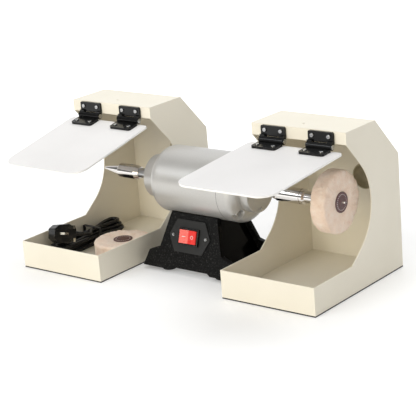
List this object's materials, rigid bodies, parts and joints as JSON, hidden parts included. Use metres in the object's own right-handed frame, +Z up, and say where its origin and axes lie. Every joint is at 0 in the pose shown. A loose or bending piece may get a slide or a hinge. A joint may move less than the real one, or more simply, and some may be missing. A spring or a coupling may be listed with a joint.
{
  "type": "dental polishing lathe",
  "caption": "Laboratory polishing lathe: a motor on a black pedestal between open sheet-metal hoods with hinged shields, arbors at both ends and a muslin wheel.",
  "frame": {"origin": "bottom centre of the box round the lathe, on the bench, without the lead and its plug", "axes": "+X along the spindle to the right, +Y to the back, +Z up"},
  "size_m": [0.58, 0.4127, 0.2591],
  "materials": {
    "cream_paint": "satin powder coat",
    "black_rubber": "matte",
    "black_enamel": "gloss",
    "frosted_acrylic": "frosted, see-through",
    "plated_steel": "bright plated",
    "steel": "machined",
    "silver_paint": "satin silver-grey paint",
    "laminations": "bare electrical steel",
    "copper_wire": "enamelled copper",
    "polished_steel": "polished",
    "muslin": "soft pink-cream cotton",
    "stitched_disc": "dark red-brown",
    "black_wrinkle": "wrinkle paint with grey speckles",
    "galvanised_sheet": "zinc plated",
    "black_plastic": "matte",
    "black_gloss_plastic": "gloss",
    "red_plastic": "gloss red",
    "white_plastic": "satin",
    "can_aluminium": "drawn can",
    "pin_brass": "nickel plated",
    "cord_jacket": "smooth black"
  },
  "bodies": {
    "lathe": {"left_hood_tray": "cream_paint", "left_hood_canopy": "cream_paint", "left_hood_inner_panel": "cream_paint", "left_hood_outer_panel": "cream_paint", "right_hood_tray": "cream_paint", "right_hood_canopy": "cream_paint", "right_hood_inner_panel": "cream_paint", "right_hood_outer_panel": "cream_paint", "hood_backs": "cream_paint", "dust_ports": "cream_paint", "hood_edge_strips": "black_rubber", "hinge_upper_leaves": "black_enamel", "hinge_pins": "plated_steel", "hinge_lip_screws": "plated_steel", "motor_casing": "silver_paint", "right_end_bell": "silver_paint", "end_covers": "silver_paint", "end_cover_screws": "plated_steel", "through_bolts": "plated_steel", "stator_core": "laminations", "stator_windings": "copper_wire", "bearing_outer_rings": "steel", "wave_washer": "steel", "spare_wheel": "muslin", "spare_wheel_hub_discs": "stitched_disc", "pedestal": "black_wrinkle", "pedestal_bottom_plate": "galvanised_sheet", "bottom_plate_screws": "plated_steel", "rubber_feet": "black_rubber", "motor_mounting_screws": "plated_steel", "switch_plate": "black_plastic", "switch_plate_screws": "plated_steel", "switch_housing": "black_gloss_plastic", "run_capacitor": "can_aluminium", "capacitor_clamp": "galvanised_sheet", "terminal_block": "white_plastic", "mains_inlet": "black_gloss_plastic", "mains_lead": "cord_jacket", "cord_hank": "cord_jacket", "mains_plug": "black_gloss_plastic", "plug_pins": "pin_brass", "lead_connector": "black_gloss_plastic", "hank_tie": "black_plastic"},
    "rotor": {"bearing_inner_rings": "steel", "bearing_balls": "polished_steel", "rotor_core": "laminations", "motor_shaft": "steel", "cooling_fan": "white_plastic", "left_arbor": "polished_steel", "right_arbor": "polished_steel", "arbor_grub_screws": "steel", "polishing_wheel": "muslin", "wheel_hub_discs": "stitched_disc"},
    "rocker": {"switch_rocker": "red_plastic"},
    "left_shield": {"left_shield": "frosted_acrylic", "left_hinge_lower_leaves": "black_enamel", "left_shield_screws": "plated_steel"},
    "right_shield": {"right_shield": "frosted_acrylic", "right_hinge_lower_leaves": "black_enamel", "right_shield_screws": "plated_steel"}
  },
  "joints": [
    {"name": "rotor_spin", "type": "hinge", "parent": "lathe", "child": "rotor", "pos_m": [0, 0.00795, 0.1441], "axis": [1, 0, 0], "continuous": true},
    {"name": "rocker_tilt", "type": "hinge", "parent": "lathe", "child": "rocker", "pos_m": [-0.0025, -0.04085, 0.06345], "axis": [0, 0.3003, 0.9538], "range_deg": [-14, 0]},
    {"name": "left_shield_hinge", "type": "hinge", "parent": "lathe", "child": "left_shield", "pos_m": [-0.2015, 0.00685, 0.236], "axis": [1, 0, 0], "range_deg": [-90, 40]},
    {"name": "right_shield_hinge", "type": "hinge", "parent": "lathe", "child": "right_shield", "pos_m": [0.2015, -0.01065, 0.236], "axis": [1, 0, 0], "range_deg": [-90, 40]}
  ]
}
